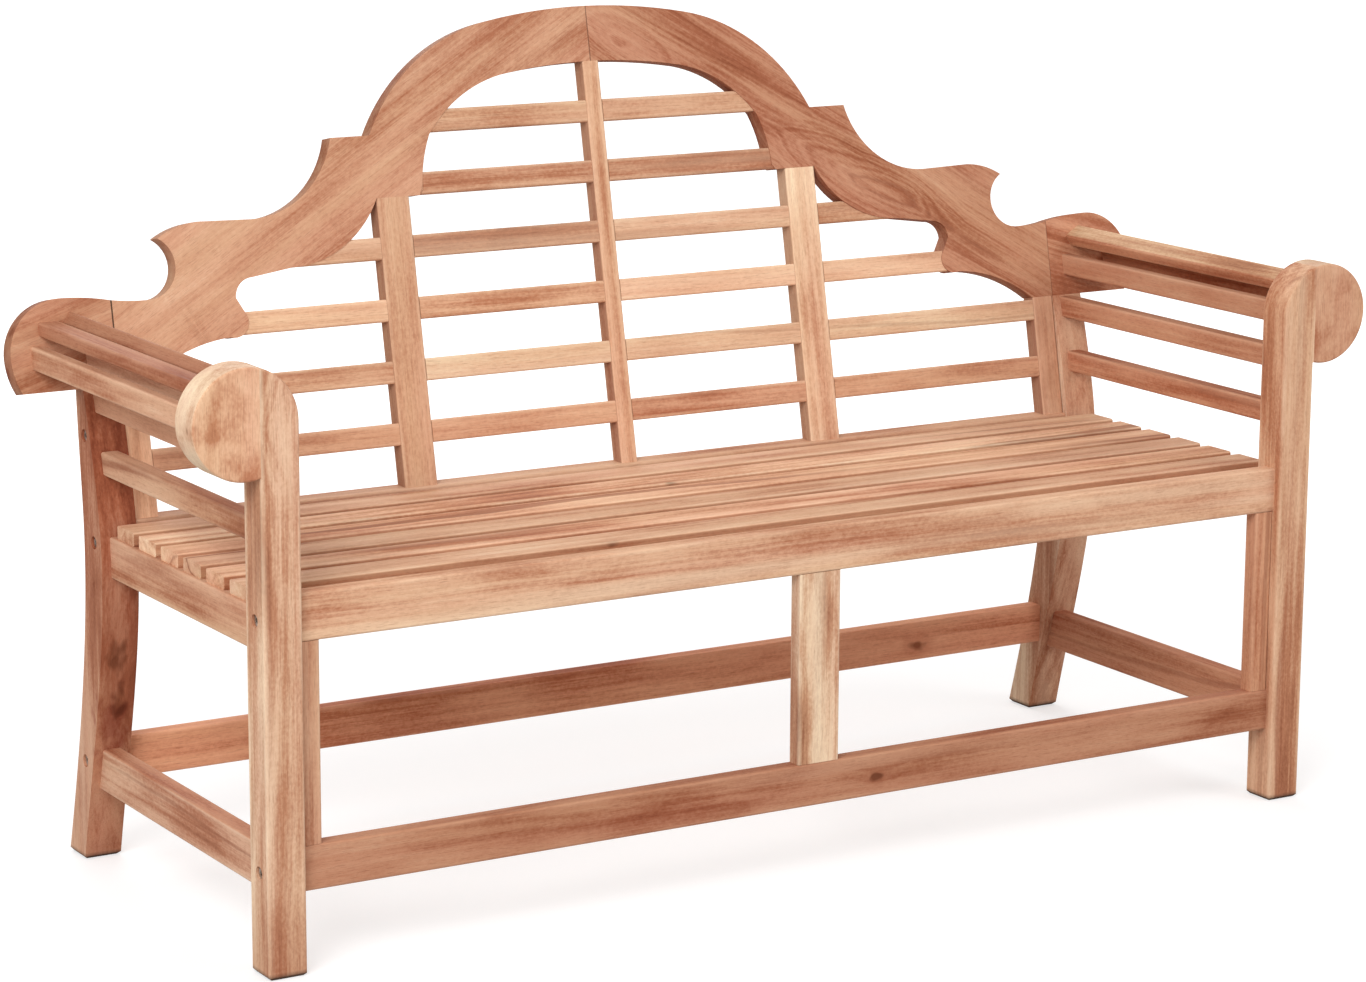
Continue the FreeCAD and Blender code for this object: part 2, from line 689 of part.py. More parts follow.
def export(nodes):
    depth = lean_point(0, back_thickness, crest_height).y
    os.makedirs("parts", exist_ok=True)
    for name, shape in nodes.items():
        placed = shape.copy()
        placed.translate(ALONG_Y * (-depth / 2))
        placed.exportStep(f"parts/{name}.step")
        box_size = placed.BoundBox
        print(f"{name:24s} solids {len(placed.Solids):3d}  volume {placed.Volume / 1000:9.1f} cm3  "
              f"z {box_size.ZMin:7.1f} to {box_size.ZMax:7.1f}  valid {placed.isValid()}")


build()
export(finished())
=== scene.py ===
"""Looks of the teak garden bench: every board gets its own sanded teak, the fasteners dull steel."""
import math
from collections import namedtuple
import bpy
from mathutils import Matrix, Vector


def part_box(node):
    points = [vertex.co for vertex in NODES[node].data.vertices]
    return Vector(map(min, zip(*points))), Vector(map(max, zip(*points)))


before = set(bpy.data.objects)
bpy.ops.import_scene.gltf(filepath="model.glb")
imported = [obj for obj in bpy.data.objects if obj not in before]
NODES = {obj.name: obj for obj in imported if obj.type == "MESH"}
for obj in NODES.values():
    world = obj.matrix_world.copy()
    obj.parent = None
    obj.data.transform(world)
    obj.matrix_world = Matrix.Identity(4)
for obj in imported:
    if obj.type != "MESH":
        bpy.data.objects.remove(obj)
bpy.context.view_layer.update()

from types import SimpleNamespace

import bpy
from mathutils import Euler, Matrix, Vector

SCENE = bpy.context.scene
FASTENERS = ("frame_bolts", "back_bolts", "barrel_nuts", "seat_screws")

# The photograph's frame and viewpoint, in metres and radians
PHOTO_WIDTH = 1366
SENSOR_WIDTH = 36.0
FOCAL_PIXELS = 3983.56
CAMERA_PLACE = Vector((-2.57624, -4.25292, 1.49505))
CAMERA_YAW = 0.54145
CAMERA_PITCH = 0.20983
CAMERA_ROLL = -0.00532
FAR_CLIP = 100.0

# The leaning back: its front plane at the seat, its thickness, and where its boards meet
BACK_TILT = math.radians(11.5)
BACK_FOOT_Y, BACK_FOOT_Z = 0.16603, 0.444
BACK_THICKNESS = 0.024
SCROLL_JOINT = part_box("crest_right")[1].x
MUNTIN_MIDDLE = sum(corner.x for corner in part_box("side_muntin_right")) / 2
BAY_EDGES = (-MUNTIN_MIDDLE, 0.0, MUNTIN_MIDDLE)
RAMP_SCALE, RAMP_MIDDLE = 0.5, 0.5  # lay a metre each side of the middle on a ramp, from 0 to 1
SLAT_SECTION = (0.009, 0.0143)  # half a back slat's depth and height

# Teak, as it looks in plain light
TONES = {
    "cream": (0.80, 0.55, 0.375),
    "pale": (0.72, 0.455, 0.302),
    "honey": (0.66, 0.38, 0.242),
    "tan": (0.59, 0.313, 0.195),
    "copper": (0.60, 0.27, 0.157),
    "rose": (0.52, 0.248, 0.149),
    "brick": (0.465, 0.203, 0.119),
}

# The same wood where it is darker or paler, as shares of its tone
VEIN = (0.42, 0.25, 0.20)
DARK_GRAIN = (0.70, 0.52, 0.45)
PALE_GRAIN = (1.15, 1.28, 1.33)
SAPWOOD = (1.28, 1.62, 1.76)
GOLDEN = (1.00, 1.03, 0.98)
ROSY = (1.01, 0.96, 0.96)
KNOT = (0.34, 0.23, 0.18)
STAIN = (0.66, 0.46, 0.46)
PLAIN_END = (1.0, 1.0, 1.0)
SAWN_END = (0.70, 0.60, 0.54)
SANDED_END = (1.10, 1.18, 1.24)
PALE_END = (0.95, 0.94, 0.93)
# Painted light and shade on whole faces, as shares of the tone: sides in shade and in the seat's gaps
# darker, lit sides paler, and a painted highlight on a lit top
SHADED_SIDE = (0.62, 0.55, 0.54)
GAP_SHADOW_SIDE = (0.70, 0.58, 0.52)
FAINT_SHADE_SIDE = (0.90, 0.91, 0.95)
SOFT_LIT_SIDE = (1.08, 1.18, 1.22)
BRIGHT_LIT_SIDE = (1.18, 1.46, 1.62)
HIGHLIGHT_TOP = (1.45, 2.3, 2.4)
SAWN_EDGE = (0.68, 0.61, 0.58)
# A painted highlight on the lit rims of the discs
LIT_DISC_RIM = (1.06, 1.28, 1.40)

# Colours that are not a share of the wood's
JOINT_LINE = (0.030, 0.018, 0.012)
# Near black on the bottom few millimetres of the legs
BOTTOM_DARK = (0.060, 0.042, 0.032)
BROWN_STEEL = (0.36, 0.29, 0.23)
BRIGHT_STEEL = (0.66, 0.62, 0.57)

# Turns that lay a board's length along the pattern's X, with its depth along Y
ALONG_X = (0.0, 0.0, 0.0)
ALONG_Y = (0.0, 0.0, -math.pi / 2)
ALONG_Z = (0.0, math.pi / 2, 0.0)
ACROSS_THE_BACK = (BACK_TILT, 0.0, 0.0)
UP_THE_BACK = (BACK_TILT, math.pi / 2, 0.0)
DOWN_CREST_LEFT = (BACK_TILT, 0.53, 0.0)
DOWN_CREST_RIGHT = (BACK_TILT, -0.55, 0.0)
DOWN_SCROLL_LEFT = (BACK_TILT, 0.30, 0.0)
DOWN_SCROLL_RIGHT = (BACK_TILT, -0.30, 0.0)

# How a board was sawn: its middle from the pith, behind and beside, and how the pith leans along it
SAWN = {
    "flat": ((0.034, 0.006), (0.085, 0.012)),
    "rift": ((0.050, 0.062), (0.012, 0.016)),
    "quarter": ((0.012, 0.110), (0.004, 0.008)),
}

# Patterns in the wood: waves to the metre along and across the grain, how fine, and their own shift
Pattern = namedtuple("Pattern", "along across detail fineness shift", defaults=(2.0, 0.55, 0.0))
DRIFT = Pattern(1.2, 6.0, 1.0)
PATCH = Pattern(5.0, 24.0, 2.0, 0.5)
CLOUD = Pattern(17.0, 21.0, 3.0, 0.55, 6.1)
STREAK = Pattern(1.2, 70.0, 2.0, 0.5)
LINE = Pattern(5.0, 260.0, 1.5, 0.5, 7.7)
FIBRE = Pattern(16.0, 620.0, 1.0)
MOTTLE = Pattern(190.0, 300.0, 2.0, 0.6, 2.9)
PORE = Pattern(60.0, 1400.0, 1.0)
HUE = Pattern(1.3, 20.0, 2.0, 0.55, 5.1)
SAP_STREAK = Pattern(0.8, 22.0, 2.0, 0.6, 9.3)
VEIN_REACH = Pattern(1.4, 20.0, 1.0, 0.5, 4.7)
RUBBED_AND_LIT_PATCH = Pattern(10.0, 30.0, 2.0, 0.6, 3.3)
RAGGED_EDGE = Pattern(45.0, 65.0, 1.0, 0.5, 1.9)
RING_SWAY = Pattern(1.5, 8.0)
RING_RIPPLE = Pattern(7.0, 55.0)
NOISE_RANGE = (0.30, 0.70)
SEED_STEP = (1.37, 0.73, 2.11)
SHIFT_STEP = (1.0, 0.7, 1.3)
BAY_JUMP = (31.0, 53.0, 47.0)

# How much each pattern darkens or pales the wood, and where the shade turns dark or pale
RING_SHARE = 0.13
DRIFT_SHARE = 0.30
PATCH_SHARE = 0.36
STREAK_SHARE = 0.18
LINE_SHARE = 0.11
FIBRE_SHARE = 0.09
MOTTLE_SHARE = 0.13
PORE_SHARE = 0.3
SAP_SHARE = 0.7
VEIN_SHARE = 0.8
EVEN_SHADE = 0.5
DARK_SHADE, PALE_SHADE = 0.26, 0.74
SAP_RANGE = (0.62, 1.0)
VEIN_REACH_RANGE = (0.35, 0.75)
PORE_RANGE = (0.72, 0.95)

# Growth rings: how far they stray, in metres, how knots and swirls draw them in, and how many are veins
SWAY, RIPPLE = 0.020, 0.0035
KNOT_PULL, SWIRL_PULL = 1.6, 2.6
PULL_REACH = 4
RING_DETAIL, VEIN_DETAIL = 1.5, 1.0
BAND_FINENESS = 0.6
RING_STEP = 3.7
VEINS_PER_RING, VEIN_START = 0.45, 17.3
VEIN_RANGE = (0.66, 0.74)

# Knots and stains: their stretch along the grain, then from and to, in their own size, and strength
MARK_STRETCH = (0.5, 1.0, 1.0)
RAGGEDNESS = 1.1
KNOT_HALO = (3.0, 0.6, 0.5)
KNOT_CORE = (1.0, 0.35, 0.9)
STAIN_REACH = (1.0, 0.3, 0.8)

# Faces, told by how squarely they face along, across or out of the board: from and to
END_TURN, END_STRENGTH = (0.80, 0.97), 0.9
SIDE_TURN = (0.75, 0.97)
OUTLINE_TURN = (0.80, 0.30)

# Paler corners, partly rubbed and partly a painted highlight, painted shade low on a leg, the dark bottom
# of the legs, and joint lines: from and to, in metres
RUBBED_AND_LIT_CORNER = (0.0055, 0.001)
LOW_SHADE_HEIGHT = (0.11, 0.01)
BOTTOM_DARK_HEIGHT, BOTTOM_DARK_STRENGTH = (0.0085, 0.002), 0.85
SEAM_CORE = 0.4

# The sanded, unoiled surface
ROUGHNESS = (0.58, 0.74)
SHINE = 0.07
RING_RELIEF, PORE_RELIEF = 0.30, -0.6
RELIEF_STRENGTH, RELIEF_HEIGHT = 0.25, 0.0005

# Steel
STEEL_SPOTS = (160.0, 160.0, 160.0)
STEEL_DETAIL, STEEL_FINENESS = 3.0, 0.55
STEEL_RAMP = ((0.35, BROWN_STEEL), (0.65, BRIGHT_STEEL))
STEEL_ROUGHNESS = (0.38, 0.6)

# The ease on corners that are sawn sharp
WELD_REACH = 0.00002
EASE_STEPS = 2
EASE_ANGLE = math.radians(40)

# Floor and light
FLOOR_SIZE = 60.0
FLOOR_TONE = (0.55, 0.55, 0.55, 1.0)
FLOOR_ROUGHNESS = 0.9
FLOOR_FADE = (1.0, 4.0)
FLOOR_GLOW = (0.52, 0.85)
WHITE = (1.0, 1.0, 1.0, 1.0)
WORLD_LIGHT, WORLD_WHITE = 0.60, 1.0

# Each lamp: its place, what it is aimed at, its width and its power
LAMPS = (
    ("key", (-4.2, -3.4, 3.7), (0.0, 0.0, 0.5), 3.4, 232.0),
    ("fill", (3.2, -3.6, 2.6), (0.2, 0.0, 0.5), 3.0, 52.0),
    ("back", (0.8, 3.8, 2.8), (0.0, 0.0, 0.6), 3.0, 75.0),
)

# A knot, swirl or stain on a board, and a joint line down the bench
Mark = namedtuple("Mark", "place size")
Seam = namedtuple("Seam", "across width strength")

# What a board is like, unless BOARDS says otherwise
PLAIN_BOARD = {
    "lift": 1.0,  # how much paler than its tone
    "leaning": False,  # lies in the back
    "ease": 0.0,  # on its corners
    "sawn": "rift",
    "spacing": 0.009,  # of the growth rings
    "wander": 1.0,  # of the rings
    "figure": 1.0,  # how clear the rings are
    "streaks": 1.0,
    "blotch": 1.0,  # broad dark and pale patches
    "lines": 1.0,
    "cloud": 0.0,  # small ones
    "sap": 0.5,
    "vein": 0.5,
    "worn": 0.5,  # corners paler, partly rubbed and partly a painted highlight
    "section": None,  # half its depth and width, where its box doesn't give them
    "bays": None,  # the shade of each slat in a row
    "knots": (),
    "swirls": (),
    "stains": (),
    "ends": SAWN_END,
    # painted light and shade on two opposite faces, sides_face telling which
    "sides": None,
    "sides_face": "Z",
    "edge": None,  # its outline faces: darker where sawn, and a painted highlight on the discs' lit rims
    "seams": (),
    # near black at the very bottom, where it stands on the floor
    "foot": False,
    # painted shade towards the bottom of the board
    "grime": 0.0,
}

# What boards of one kind share
FRONT_LEG = {"ends": SANDED_END, "foot": True}
# Rear legs: their side faces paler, painted light
REAR_LEG = {"foot": True, "worn": 0.0, "ease": 0.002, "sides": BRIGHT_LIT_SIDE}
# Discs: their rims paler, a painted highlight where they are lit
DISC = {"sawn": "flat", "ends": PLAIN_END, "edge": LIT_DISC_RIM, "worn": 0.0, "streaks": 0.2, "blotch": 0.7,
        "lines": 0.4, "cloud": 0.45, "spacing": 0.014, "wander": 2.6, "figure": 0.4, "vein": 0.1}
TURNED_SLAT = {"worn": 0.0}
# Seat slats: their front and back faces darker, painted shadow in the gaps between them
SEAT_SLAT = {"vein": 0.9, "streaks": 1.4, "ends": PALE_END, "sides": GAP_SHADOW_SIDE, "sides_face": "Y"}
STILE = {"leaning": True}
# Muntins: their side faces darker, painted shade between the back slats
MUNTIN = {"leaning": True, "sides": SHADED_SIDE}
BACK_SLATS = {"section": SLAT_SECTION}
DOWEL = {"worn": 0.0}
CREST = {"edge": SAWN_EDGE, "ends": PLAIN_END, "worn": 0.0, "ease": 0.0018, "leaning": True,
         "sap": 0.25, "vein": 0.25}
SCROLL = {**CREST, "blotch": 1.5}
MIDDLE_SEAM = Seam(0.0, 0.0010, 0.6)

# Each board: its tone, the way its grain runs, and what is special about it
BOARDS = (
    # Legs and the discs on them
    # Its side faces paler, painted light; painted shade towards its bottom
    ("front_leg_left", "pale", ALONG_Z, {
        **FRONT_LEG, "sap": 0.3, "grime": 0.65, "sides": SOFT_LIT_SIDE,
        "swirls": (Mark((-0.741, -0.309, 0.640), 0.010),)}),
    ("front_leg_right", "honey", ALONG_Z, {**FRONT_LEG, "lift": 1.03}),
    ("arm_block_left", "honey", ALONG_Z, {
        **DISC, "lift": 1.1, "knots": (Mark((-0.832, -0.2953, 0.6461), 0.004),)}),
    ("arm_block_right", "tan", ALONG_Z, {**DISC, "lift": 1.04}),
    # Its dark tone partly painted shade, from the arm and seat above its front face
    ("rear_leg_left", "brick", ALONG_Z, {
        **REAR_LEG, "lift": 1.05, "vein": 0.9, "blotch": 1.2,
        "knots": (Mark((-0.7289, 0.1640, 0.2767), 0.014), Mark((-0.7225, 0.1765, 0.2159), 0.011)),
        "stains": (Mark((-0.726, 0.1845, 0.183), 0.026),)}),
    ("rear_leg_right", "tan", ALONG_Z, {**REAR_LEG, "blotch": 1.3}),
    # Sides and arms
    ("side_seat_rail_left", "tan", ALONG_Y, {"blotch": 1.5}),
    ("side_seat_rail_right", "tan", ALONG_Y, {"sawn": "quarter"}),
    # Its side faces paler, painted light
    ("side_stretcher_left", "rose", ALONG_Y, {
        "sawn": "quarter", "sides": BRIGHT_LIT_SIDE, "sides_face": "Y", "lift": 1.05}),
    ("side_stretcher_right", "brick", ALONG_Y, {"lift": 1.1}),
    ("side_slat_lower_left", "tan", ALONG_Y, {"sawn": "quarter", "blotch": 1.4}),
    ("side_slat_lower_right", "rose", ALONG_Y, {"lift": 1.1}),
    ("side_slat_upper_left", "rose", ALONG_Y, {"lift": 1.2}),
    ("side_slat_upper_right", "rose", ALONG_Y, {"sawn": "quarter"}),
    ("arm_slat_inner_left", "tan", ALONG_Y, {"lift": 1.1}),
    ("arm_slat_inner_right", "brick", ALONG_Y, {"blotch": 1.6, "lift": 0.95}),
    ("arm_slat_upper_inner_left", "brick", ALONG_Y, {**TURNED_SLAT, "lift": 0.9}),
    # Its top paler, a painted highlight
    ("arm_slat_upper_inner_right", "rose", ALONG_Y, {**TURNED_SLAT, "sides": HIGHLIGHT_TOP, "lift": 1.05}),
    ("arm_slat_upper_outer_left", "brick", ALONG_Y, {}),
    ("arm_slat_upper_outer_right", "tan", ALONG_Y, {}),
    ("arm_slat_outer_left", "tan", ALONG_Y, {"blotch": 1.5}),
    ("arm_slat_outer_right", "brick", ALONG_Y, {}),
    # Front and rear
    ("front_seat_rail", "honey", ALONG_X, {"sap": 0.8, "lift": 1.05}),
    ("front_stretcher", "brick", ALONG_X, {
        "blotch": 1.4, "knots": (Mark((0.089, -0.297, 0.1206), 0.006),)}),
    ("rear_seat_rail", "tan", ALONG_X, {}),
    # Paler than its tone: painted light where the seat shades it
    ("rear_stretcher", "copper", ALONG_X, {
        "lift": 1.2, "knots": (Mark((0.491, 0.210, 0.1247), 0.006),)}),
    # Its side faces a little darker, painted shade
    ("front_centre_upright", "cream", ALONG_Z, {"sawn": "flat", "blotch": 1.5, "sides": FAINT_SHADE_SIDE}),
    ("front_end_upright_left", "tan", ALONG_Z, {"blotch": 1.4}),
    ("front_end_upright_right", "rose", ALONG_Z, {"lift": 1.15}),
    # Seat
    ("seat_bearer_left", "tan", ALONG_Y, {}),
    ("seat_bearer_right", "tan", ALONG_Y, {}),
    ("seat_slat_1", "honey", ALONG_X, {
        **SEAT_SLAT, "knots": (Mark((-0.256, -0.232, 0.441), 0.006),)}),
    ("seat_slat_2", "honey", ALONG_X, {**SEAT_SLAT, "lift": 1.16}),
    ("seat_slat_3", "honey", ALONG_X, SEAT_SLAT),
    ("seat_slat_4", "honey", ALONG_X, {**SEAT_SLAT, "lift": 1.17}),
    ("seat_slat_5", "pale", ALONG_X, {
        **SEAT_SLAT, "lift": 1.2, "knots": (Mark((-0.018, 0.028, 0.442), 0.006),)}),
    ("seat_slat_6", "honey", ALONG_X, {**SEAT_SLAT, "lift": 1.03}),
    # Back
    # Paler than its tone: painted light where the arm shades it
    ("back_stile_left", "honey", UP_THE_BACK, {
        **STILE, "lift": 1.2, "seams": (Seam(-SCROLL_JOINT, 0.0014, 0.8),)}),
    # Its side faces darker, painted shade
    ("back_stile_right", "tan", UP_THE_BACK, {
        **STILE, "sides": SHADED_SIDE, "seams": (Seam(SCROLL_JOINT, 0.0012, 0.5),)}),
    ("side_muntin_left", "honey", UP_THE_BACK, {**MUNTIN, "streaks": 0.5, "blotch": 0.5}),
    ("side_muntin_right", "pale", UP_THE_BACK, {
        **MUNTIN, "sawn": "quarter", "sap": 0.6, "vein": 1.0, "lift": 1.08}),
    ("centre_muntin", "honey", UP_THE_BACK, {**MUNTIN, "sawn": "quarter", "blotch": 0.8, "lift": 1.08}),
    ("back_slats_row_1", "tan", ACROSS_THE_BACK, {
        **BACK_SLATS, "lift": 1.1, "bays": (0.38, 0.70, 0.60, 0.43)}),
    ("back_slats_row_2", "honey", ACROSS_THE_BACK, {**BACK_SLATS, "bays": (0.46, 0.74, 0.71, 0.55)}),
    ("back_slats_row_3", "honey", ACROSS_THE_BACK, {
        **BACK_SLATS, "lift": 1.09, "bays": (0.57, 0.44, 0.69, 0.51)}),
    ("back_slats_row_4", "honey", ACROSS_THE_BACK, {**BACK_SLATS, "bays": (0.56, 0.25, 0.70, 0.48)}),
    ("back_slats_row_5", "honey", ACROSS_THE_BACK, {**BACK_SLATS, "bays": (0.50, 0.40, 0.43, 0.50)}),
    ("back_slats_row_6", "honey", ACROSS_THE_BACK, {**BACK_SLATS, "bays": (0.50, 0.44, 0.56, 0.49)}),
    # Dowels
    ("joint_dowels", "honey", ALONG_X, DOWEL),
    ("crest_dowels", "honey", ALONG_X, DOWEL),
    # Crest and scrolls
    ("crest_left", "tan", DOWN_CREST_LEFT, {
        **CREST, "sawn": "quarter", "spacing": 0.010, "figure": 0.6, "streaks": 0.6, "lift": 1.03,
        "seams": (Seam(-SCROLL_JOINT, 0.0014, 0.9), MIDDLE_SEAM)}),
    ("crest_right", "rose", DOWN_CREST_RIGHT, {
        **CREST, "sawn": "flat", "spacing": 0.010, "wander": 1.6, "figure": 2.2, "streaks": 0.3,
        "vein": 0.7,
        "swirls": (Mark((0.3983, 0.2336, 0.7759), 0.018), Mark((0.4839, 0.2314, 0.7652), 0.012),
                   Mark((0.042, 0.275, 0.980), 0.012)),
        "seams": (Seam(SCROLL_JOINT, 0.0010, 0.35), MIDDLE_SEAM)}),
    ("rear_scroll_left", "rose", DOWN_SCROLL_LEFT, {
        **SCROLL, "seams": (Seam(-SCROLL_JOINT, 0.0014, 0.9),)}),
    ("rear_scroll_right", "rose", DOWN_SCROLL_RIGHT, {
        **SCROLL, "lift": 1.1, "seams": (Seam(SCROLL_JOINT, 0.0010, 0.35),)}),
)


class Nodes:
    """The nodes of one material, added one after the other."""

    def __init__(self, name):
        self.material = bpy.data.materials.new(name)
        self.material.use_nodes = True
        self.tree = self.material.node_tree
        self.shader = self.tree.nodes["Principled BSDF"]

    def add(self, kind, *inputs, **settings):
        node = self.tree.nodes.new(kind)
        for key, value in settings.items():
            setattr(node, key, value)
        for place, value in enumerate(inputs):
            self.put(node.inputs[place], value)
        return node

    def put(self, socket, value):
        if isinstance(value, bpy.types.NodeSocket):
            self.tree.links.new(value, socket)
        elif value is not None:
            socket.default_value = value

    def math(self, operation, *inputs):
        return self.add("ShaderNodeMath", *inputs, operation=operation).outputs[0]

    def vector(self, operation, *inputs):
        node = self.add("ShaderNodeVectorMath", *inputs, operation=operation)
        return node.outputs["Value"] if operation == "LENGTH" else node.outputs["Vector"]

    def parts(self, vector):
        return self.add("ShaderNodeSeparateXYZ", vector).outputs

    def noise(self, place, detail, fineness):
        node = self.add("ShaderNodeTexNoise")
        self.put(node.inputs["Vector"], place)
        node.inputs["Scale"].default_value = 1.0
        node.inputs["Detail"].default_value = detail
        node.inputs["Roughness"].default_value = fineness
        return node.outputs["Fac"]

    def bands(self, value, detail):
        """Uneven bands along one value."""
        node = self.add("ShaderNodeTexNoise", noise_dimensions="1D")
        self.put(node.inputs["W"], value)
        node.inputs["Scale"].default_value = 1.0
        node.inputs["Detail"].default_value = detail
        node.inputs["Roughness"].default_value = BAND_FINENESS
        return node.outputs["Fac"]

    def span(self, value, low, high, to_low=0.0, to_high=1.0):
        return self.add("ShaderNodeMapRange", value, low, high, to_low, to_high).outputs[0]

    def ramp(self, value, stops, interpolation="LINEAR"):
        node = self.add("ShaderNodeValToRGB", value)
        band = node.color_ramp
        band.interpolation = interpolation
        while len(band.elements) < len(stops):
            band.elements.new(0.5)
        for element, (position, colour) in zip(band.elements, stops):
            element.position = position
            element.color = (*colour, 1.0)
        return node.outputs["Color"]

    def mix(self, factor, first, second, blend="MIX"):
        node = self.add("ShaderNodeMix", data_type="RGBA", blend_type=blend)
        for socket, value in (("Factor_Float", factor), ("A_Color", first), ("B_Color", second)):
            target = next(entry for entry in node.inputs if entry.identifier == socket)
            self.put(target, (*value, 1.0) if isinstance(value, tuple) else value)
        return next(entry for entry in node.outputs if entry.identifier == "Result_Color")

    def tint(self, factor, colour, shares):
        """The colour, times these shares where the factor is 1."""
        return self.mix(factor, colour, self.mix(1.0, colour, shares, "MULTIPLY"))

    def waver(self, base, pattern, share):
        """The base, moved up and down by a pattern that runs from 0 to 1."""
        return self.math("MULTIPLY_ADD", self.math("SUBTRACT", pattern, 0.5), share, base)


def times(colour, shares):
    return tuple(min(1.0, part * share) for part, share in zip(colour, shares))


def on_back(place):
    """The middle of the leaning back at this place's height."""
    rise = (place.z - BACK_FOOT_Z) * math.tan(BACK_TILT)
    return Vector((place.x, BACK_FOOT_Y + rise + BACK_THICKNESS / 2 / math.cos(BACK_TILT), place.z))


class Board:
    """Teak for one board: where its grain runs, then each thing that colours it."""

    def __init__(self, name, tone, turn, special, seed):
        self.nodes = Nodes("teak_" + name)
        self.look = SimpleNamespace(**{**PLAIN_BOARD, **special})
        self.tone = times(TONES[tone], (self.look.lift,) * 3)
        self.turn = Euler(turn)
        self.seed = float(seed)
        low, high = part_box(name)
        middle = (low + high) / 2
        self.middle = on_back(middle) if self.look.leaning else middle
        self.section = self.look.section or self.box_section(low, high)
        self.source = self.nodes.add("ShaderNodeTexCoord")
        mapping = self.nodes.add("ShaderNodeMapping", self.source.outputs["Object"])
        mapping.inputs["Rotation"].default_value = self.turn
        mapping.inputs["Location"].default_value = -(self.turn.to_matrix() @ self.middle)
        self.place = mapping.outputs["Vector"]
        self.seeded = self.nodes.vector("ADD", self.place, tuple(self.seed * step for step in SEED_STEP))
        self.bay = None
        if self.look.bays:
            self.split()

    def box_section(self, low, high):
        """Half the board's depth and width."""
        if self.look.leaning:
            return BACK_THICKNESS / 2, (high.x - low.x) / 2
        half = (high - low) / 2
        turned = self.turn.to_matrix()
        return [sum(abs(turned[row][axis]) * half[axis] for axis in range(3)) for row in (1, 2)]

    def split(self):
        """Separate slats in one row: each its own wood, a little darker or paler."""
        nodes = self.nodes
        first, *others = self.look.bays
        across = nodes.parts(self.source.outputs["Object"])["X"]
        stops = [(0.0, (first,) * 3)]
        for edge, value in zip(BAY_EDGES, others):
            stops.append((edge * RAMP_SCALE + RAMP_MIDDLE, (value,) * 3))
        on_ramp = nodes.math("MULTIPLY_ADD", across, RAMP_SCALE, RAMP_MIDDLE)
        self.bay = nodes.ramp(on_ramp, stops, "CONSTANT")
        jump = nodes.add("ShaderNodeVectorMath", BAY_JUMP, operation="SCALE")
        nodes.put(jump.inputs["Scale"], self.bay)
        self.seeded = nodes.vector("ADD", self.seeded, jump.outputs["Vector"])

    def grain(self, pattern):
        """Noise drawn out along the board, as 0 to 1."""
        nodes = self.nodes
        place = self.seeded
        if pattern.shift:
            place = nodes.vector("ADD", place, tuple(pattern.shift * step for step in SHIFT_STEP))
        drawn = nodes.vector("MULTIPLY", place, (pattern.along, pattern.across, pattern.across))
        return nodes.span(nodes.noise(drawn, pattern.detail, pattern.fineness), *NOISE_RANGE)

    def away_from(self, mark):
        """How far a place is from a mark, which is longer along the grain than across it."""
        spot = self.turn.to_matrix() @ (Vector(mark.place) - self.middle)
        away = self.nodes.vector("SUBTRACT", self.place, tuple(spot))
        return self.nodes.vector("LENGTH", self.nodes.vector("MULTIPLY", away, MARK_STRETCH))

    def ragged(self, mark):
        """As away_from, with an uneven outline."""
        return self.nodes.waver(self.away_from(mark), self.grain(RAGGED_EDGE), mark.size * RAGGEDNESS)

    def within(self, away, mark, reach):
        """How far inside a mark's reach a place is."""
        outer, inner, strength = reach
        return self.nodes.span(away, mark.size * outer, mark.size * inner, 0.0, strength)

    def rings(self):
        """Growth rings round the pith, which draw lines or loops on the faces, and their veins."""
        nodes, look = self.nodes, self.look
        (behind, beside), (lean_in, lean_over) = SAWN[look.sawn]
        side = 1 if int(self.seed) % 2 else -1  # of the pith, by turns
        along, depth, across = (nodes.parts(self.place)[axis] for axis in "XYZ")
        depth = nodes.math("ADD", nodes.math("MULTIPLY_ADD", along, lean_in * side, behind), depth)
        across = nodes.math("ADD", nodes.math("MULTIPLY_ADD", along, lean_over, beside * side), across)
        radius = nodes.vector("LENGTH", nodes.add("ShaderNodeCombineXYZ", depth, across, 0.0).outputs[0])
        radius = nodes.math("MULTIPLY_ADD", self.grain(RING_SWAY), SWAY * look.wander, radius)
        radius = nodes.math("MULTIPLY_ADD", self.grain(RING_RIPPLE), RIPPLE * look.wander, radius)
        pulls = [(knot, KNOT_PULL) for knot in look.knots]
        pulls += [(swirl, SWIRL_PULL) for swirl in look.swirls]
        for mark, pull in pulls:
            near = nodes.span(self.away_from(mark), mark.size * PULL_REACH, 0.0)
            radius = nodes.math("MULTIPLY_ADD", near, -mark.size * pull, radius)
        counted = nodes.math("MULTIPLY_ADD", radius, 1.0 / look.spacing, self.seed * RING_STEP)
        ring = nodes.span(nodes.bands(counted, RING_DETAIL), *NOISE_RANGE)
        veins = nodes.bands(nodes.math("MULTIPLY_ADD", counted, VEINS_PER_RING, VEIN_START), VEIN_DETAIL)
        return ring, nodes.span(veins, *VEIN_RANGE)

